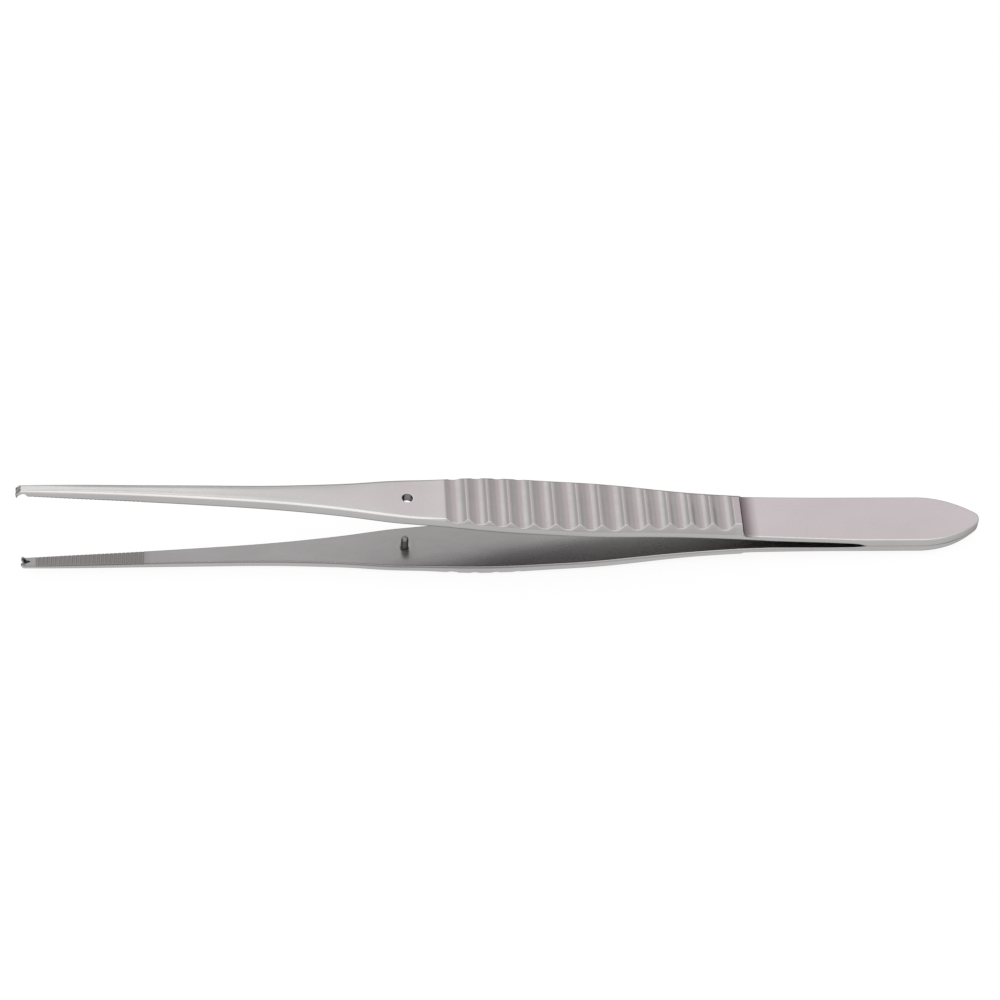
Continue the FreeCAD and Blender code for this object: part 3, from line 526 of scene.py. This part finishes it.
def close_and_smooth(mesh, name, sharp):
    """Weld points that share a place, face outwards, shade smooth except at
    edges sharper than the given angle in degrees."""
    work = bmesh.new()
    work.from_mesh(mesh)
    bmesh.ops.remove_doubles(work, verts=work.verts, dist=1e-7)
    bmesh.ops.dissolve_degenerate(work, edges=work.edges, dist=1e-8)
    bmesh.ops.recalc_face_normals(work, faces=work.faces)
    open_edges = sum(1 for e in work.edges if len(e.link_faces) != 2)
    work.to_mesh(mesh)
    work.free()
    print(name, "faces", len(mesh.polygons), "open edges", open_edges)
    mesh.shade_smooth()
    mesh.set_sharp_from_angle(angle=math.radians(sharp))
    piece = bpy.data.objects.new(name, mesh)
    bpy.context.scene.collection.objects.link(piece)
    return piece


def guide_pin():
    """Turned pin: a profile of (radius, height over the inner face) carried
    once round its axis, from the floor of its seat to a rounded taper."""
    profile = np.array([
        (0.0, -0.98), (0.5, -0.98), (0.585, -0.9), (0.585, 0.0), (0.6, 0.05), (0.6, 0.8),
        (0.6, 1.5), (0.595, 1.65), (0.58, 1.82), (0.555, 1.99), (0.515, 2.16), (0.46, 2.32),
        (0.385, 2.46), (0.29, 2.56), (0.18, 2.62), (0.08, 2.645), (0.0, 2.65)])
    angle = np.linspace(0, 2 * math.pi, PIN_SIDES + 1)[:-1]
    r, h = profile[:, 0][:, None], profile[:, 1][:, None]
    base = -float(spread(PIN_PLACE))
    grid = np.stack([PIN_PLACE - r * np.cos(angle), r * np.sin(angle), base + h + 0 * angle], -1)
    numbers = np.arange(grid[..., 0].size).reshape(grid.shape[:2])
    nxt = np.roll(numbers, -1, axis=1)
    faces = np.stack([numbers[:-1], nxt[:-1], nxt[1:], numbers[1:]], -1).reshape(-1, 4)
    mesh = bpy.data.meshes.new("turned_pin")
    mesh.from_pydata(to_frame(grid.reshape(-1, 3), True), [], faces.tolist())
    return close_and_smooth(mesh, "turned_pin", 50)


# Finishes and painted shade: tints as (darker, lighter), each over the same cloudy pattern.
OUTSIDE_TINT = (0.442, 0.434, 0.43), (0.47, 0.461, 0.457)
ZONE_TINTS = [
    # inner faces: duller finish with painted shade between the blades
    ("inner_matt_and_shade", (0.216, 0.208, 0.209), (0.233, 0.225, 0.226)),
    # painted shade of the serrations
    ("serration_shade", (0.165, 0.158, 0.156), (0.184, 0.177, 0.175)),
    ("ground", (0.35, 0.331, 0.331), (0.378, 0.358, 0.358)),
    # painted shade in the hollow of the step and in the hole walls
    ("hollow_shade", (0.15, 0.132, 0.137), (0.17, 0.15, 0.156)),
]
PIN_TINT = (0.24, 0.222, 0.22), (0.28, 0.262, 0.26)
# Roughness as (lowest, highest), each over the pattern of strokes or rings.
OUTSIDE_ROUGH, GROUND_ROUGH, PIN_ROUGH = (0.26, 0.3), (0.26, 0.34), (0.3, 0.36)
NOISE_LOW, NOISE_HIGH = 0.3, 0.7    # part of the noise's range that is used


def start_finish(name):
    """New material with its nodes: the material, its tree and its shader."""
    finish = bpy.data.materials.new(name)
    finish.use_nodes = True
    tree = finish.node_tree
    return finish, tree, tree.nodes["Principled BSDF"]


def pattern(tree, stretch, scale, detail, rough):
    """Noise in the piece's own place, stretched along the blade."""
    where = tree.nodes.new("ShaderNodeTexCoord")
    turn = tree.nodes.new("ShaderNodeMapping")
    turn.inputs["Scale"].default_value = stretch
    turn.inputs["Rotation"].default_value = (0, TILT, 0)
    noise = tree.nodes.new("ShaderNodeTexNoise")
    noise.inputs["Scale"].default_value = scale
    noise.inputs["Detail"].default_value = detail
    noise.inputs["Roughness"].default_value = rough
    tree.links.new(where.outputs["Object"], turn.inputs["Vector"])
    tree.links.new(turn.outputs["Vector"], noise.inputs["Vector"])
    return noise.outputs["Fac"]


def ramp(tree, source, low, high, start=NOISE_LOW, end=NOISE_HIGH):
    """Lay a pattern over a range of values."""
    node = tree.nodes.new("ShaderNodeMapRange")
    node.inputs["From Min"].default_value = start
    node.inputs["From Max"].default_value = end
    node.inputs["To Min"].default_value = low
    node.inputs["To Max"].default_value = high
    tree.links.new(source, node.inputs["Value"])
    return node.outputs["Result"]


def tint(tree, source, low, high):
    """Lay a pattern over a range of colours."""
    node = tree.nodes.new("ShaderNodeValToRGB")
    node.color_ramp.elements[0].position = NOISE_LOW
    node.color_ramp.elements[1].position = NOISE_HIGH
    node.color_ramp.elements[0].color = (*low, 1)
    node.color_ramp.elements[1].color = (*high, 1)
    tree.links.new(source, node.inputs["Fac"])
    return node.outputs["Color"]


def blend(tree, zone, plain, marked, kind):
    """One look where the zone's attribute is 0 and the other where it is 1."""
    where = tree.nodes.new("ShaderNodeAttribute")
    where.attribute_name = zone
    node = tree.nodes.new("ShaderNodeMix")
    node.data_type = kind
    tree.links.new(where.outputs["Fac"], node.inputs[0])
    # a mix node keeps its sockets for values and for colours side by side
    first, second, result = (2, 3, 0) if kind == "FLOAT" else (6, 7, 2)
    tree.links.new(plain, node.inputs[first])
    tree.links.new(marked, node.inputs[second])
    return node.outputs[result]


def satin_steel():
    """Satin steel: broad cloudy tint, a duller tint in the ground flutes and on
    the inner faces, darker tints painted as shade between the blades, in the
    serrations, in the hollow of the step and in the hole walls, and fine
    strokes along the blade in the roughness."""
    finish, tree, shader = start_finish("satin_steel")
    shader.inputs["Metallic"].default_value = 1.0
    shader.inputs["Specular Tint"].default_value = (0.4, 0.4, 0.4, 1)
    clouds = pattern(tree, (0.5, 1, 1), 160, 3, 0.5)
    colour = tint(tree, clouds, *OUTSIDE_TINT)
    for zone, low, high in ZONE_TINTS:
        colour = blend(tree, zone, colour, tint(tree, clouds, low, high), "RGBA")
    tree.links.new(colour, shader.inputs["Base Color"])
    strokes = pattern(tree, (0.25, 1, 1), 900, 5, 0.6)
    rough = blend(tree, "ground", ramp(tree, strokes, *OUTSIDE_ROUGH),
                  ramp(tree, strokes, *GROUND_ROUGH), "FLOAT")
    tree.links.new(rough, shader.inputs["Roughness"])
    return finish


def pin_steel():
    """Turned steel: rings round the pin and a slightly darker, warmer tint."""
    finish, tree, shader = start_finish("pin_steel")
    shader.inputs["Metallic"].default_value = 1.0
    turned = pattern(tree, (0.2, 0.2, 1), 3000, 2, 0.5)
    tree.links.new(tint(tree, turned, *PIN_TINT), shader.inputs["Base Color"])
    tree.links.new(ramp(tree, turned, *PIN_ROUGH), shader.inputs["Roughness"])
    return finish


GLOW_SHARE = 0.9    # part of the table that is plain white where it is seen


def table_white():
    """White table: the camera and the metal see it as plain white, with a
    part left to the lamps so that the shadow stays."""
    finish, tree, shader = start_finish("table_white")
    shader.inputs["Base Color"].default_value = (0.9, 0.9, 0.9, 1)
    shader.inputs["Roughness"].default_value = 0.8
    shader.inputs["Specular IOR Level"].default_value = 0.0
    paths = tree.nodes.new("ShaderNodeLightPath")
    glow = tree.nodes.new("ShaderNodeEmission")
    glow.inputs["Strength"].default_value = 1.0
    seen = paths.outputs["Is Camera Ray"]
    for step, other in (("MAXIMUM", "Is Glossy Ray"), ("MAXIMUM", "Is Transmission Ray"),
                        ("MULTIPLY", None)):
        share = tree.nodes.new("ShaderNodeMath")
        share.operation = step
        tree.links.new(seen, share.inputs[0])
        if other:
            tree.links.new(paths.outputs[other], share.inputs[1])
        else:
            share.inputs[1].default_value = GLOW_SHARE
        seen = share.outputs[0]
    mix = tree.nodes.new("ShaderNodeMixShader")
    tree.links.new(seen, mix.inputs["Fac"])
    tree.links.new(shader.outputs["BSDF"], mix.inputs[1])
    tree.links.new(glow.outputs["Emission"], mix.inputs[2])
    tree.links.new(mix.outputs["Shader"], tree.nodes["Material Output"].inputs["Surface"])
    return finish


TABLE_HALF = 1.5    # metres


def table():
    """Square table top at the height where the forceps lie."""
    mesh = bpy.data.meshes.new("table")
    a = TABLE_HALF
    mesh.from_pydata([(-a, -a, 0), (a, -a, 0), (a, a, 0), (-a, a, 0)], [], [(0, 1, 2, 3)])
    top = bpy.data.objects.new("table", mesh)
    bpy.context.scene.collection.objects.link(top)
    top.data.materials.append(table_white())


# Room: the direction in which it grows lighter, how far it rises, and its
# lowest and full strength.
ROOM_UP, ROOM_RISE, ROOM_LOW, ROOM_FULL = (0, -0.3, 1), 0.3, 0.55, 1.0


def room_light():
    """White room; low behind the table and at its sides it is a little
    darker than above and in front."""
    world = bpy.context.scene.world or bpy.data.worlds.new("room")
    bpy.context.scene.world = world
    world.use_nodes = True
    tree = world.node_tree
    tree.nodes.clear()
    out = tree.nodes.new("ShaderNodeOutputWorld")
    room = tree.nodes.new("ShaderNodeBackground")
    room.inputs["Color"].default_value = (1, 1, 1, 1)
    where = tree.nodes.new("ShaderNodeTexCoord")
    height = tree.nodes.new("ShaderNodeVectorMath")
    height.operation = "DOT_PRODUCT"
    height.inputs[1].default_value = ROOM_UP
    tree.links.new(where.outputs["Generated"], height.inputs[0])
    level = ramp(tree, height.outputs["Value"], ROOM_LOW, ROOM_FULL, 0.0, ROOM_RISE)
    tree.links.new(level, room.inputs["Strength"])
    tree.links.new(room.outputs["Background"], out.inputs["Surface"])


# Softboxes, in metres: name, place, place they face, size, watts and tint.
SOFTBOXES = [
    ("behind left", (-0.12, 0.40, 0.446), (-0.12, 0, 0), (0.3, 0.4), 0.26, (1, 1, 1)),
    ("behind right", (0.2, 0.40, 0.446), (0.2, 0, 0), (0.24, 0.4), 0.09, (1.0, 0.55, 0.76)),
    ("front", (0.0, -0.145, 0.582), (0.0, 0, 0), (0.8, 0.64), 1.6, (1, 1, 1)),
    ("right", (0.55, 0.30, 0.18), (0.0, 0, 0.01), (0.3, 0.3), 0.15, (1, 1, 1)),
]


def softbox(name, place, aim, size, watts, colour):
    """Rectangular lamp that looks at its aim."""
    lamp = bpy.data.lights.new(name, "AREA")
    lamp.shape = "RECTANGLE"
    lamp.size, lamp.size_y = size
    lamp.energy = watts
    lamp.color = colour
    lamp_object = bpy.data.objects.new(name, lamp)
    bpy.context.scene.collection.objects.link(lamp_object)
    facing = (Vector(aim) - Vector(place)).to_track_quat("-Z", "Y")
    lamp_object.matrix_world = Matrix.Translation(Vector(place)) @ facing.to_matrix().to_4x4()


# Camera fitted to the outline: turn, lean from straight above and roll in
# degrees, distance and shift of the picture's middle in mm, and the picture's
# pixels per mm at that distance with its width in pixels.
CAMERA_TURN, CAMERA_LEAN, CAMERA_ROLL = -4.8, 40, -0.17
CAMERA_DISTANCE, CAMERA_SHIFT = 506, (-0.58, 4.0)
PIXELS_PER_MM, PICTURE_WIDTH, SENSOR = 6.4156, 1000, 36


def camera():
    """Camera in front of the long side, about 50 degrees above the table.

    Its axes are found in the drawing's own, where x grows towards the tail
    from the middle of the length, and then tilted into the frame."""
    turn, lean, roll = (math.radians(a) for a in (CAMERA_TURN, CAMERA_LEAN, CAMERA_ROLL))
    back = np.array([math.sin(turn), -math.cos(turn) * math.sin(lean),
                     math.cos(turn) * math.cos(lean)])
    right = np.array([math.cos(turn), math.sin(turn) * math.sin(lean),
                      -math.sin(turn) * math.cos(lean)])
    up = np.cross(back, right)
    right, up = (right * math.cos(roll) + up * math.sin(roll),
                 up * math.cos(roll) - right * math.sin(roll))
    place = CAMERA_DISTANCE * back + CAMERA_SHIFT[0] * right + CAMERA_SHIFT[1] * up
    place = place - (LENGTH / 2, 0, 0)
    c, t = math.cos(TILT), math.sin(TILT)
    level = np.array([[c, 0, t], [0, 1, 0], [-t, 0, c]])
    place = level @ place + SHIFT
    axes = level @ np.column_stack([right, up, back])
    data = bpy.data.cameras.new("camera")
    data.sensor_width = SENSOR
    data.lens = PIXELS_PER_MM * CAMERA_DISTANCE / PICTURE_WIDTH * SENSOR
    data.clip_start, data.clip_end = 0.01, 20
    seat = bpy.data.objects.new("camera", data)
    matrix = Matrix(axes.tolist()).to_4x4()
    matrix.translation = Vector((place / 1000).tolist())
    seat.matrix_world = matrix
    bpy.context.scene.collection.objects.link(seat)
    bpy.context.scene.camera = seat


steel = satin_steel()
for node, is_upper in (("upper_blade", True), ("lower_blade", False)):
    piece = blade("steel_" + node, is_upper)
    piece.data.materials.append(steel)
    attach(piece, "root")
    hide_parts(node)
pin = guide_pin()
pin.data.materials.append(pin_steel())
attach(pin, "root")
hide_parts("guide_pin")

table()
room_light()
for lamp in SOFTBOXES:
    softbox(*lamp)
camera()
scene = bpy.context.scene
scene.view_settings.view_transform = "Standard"
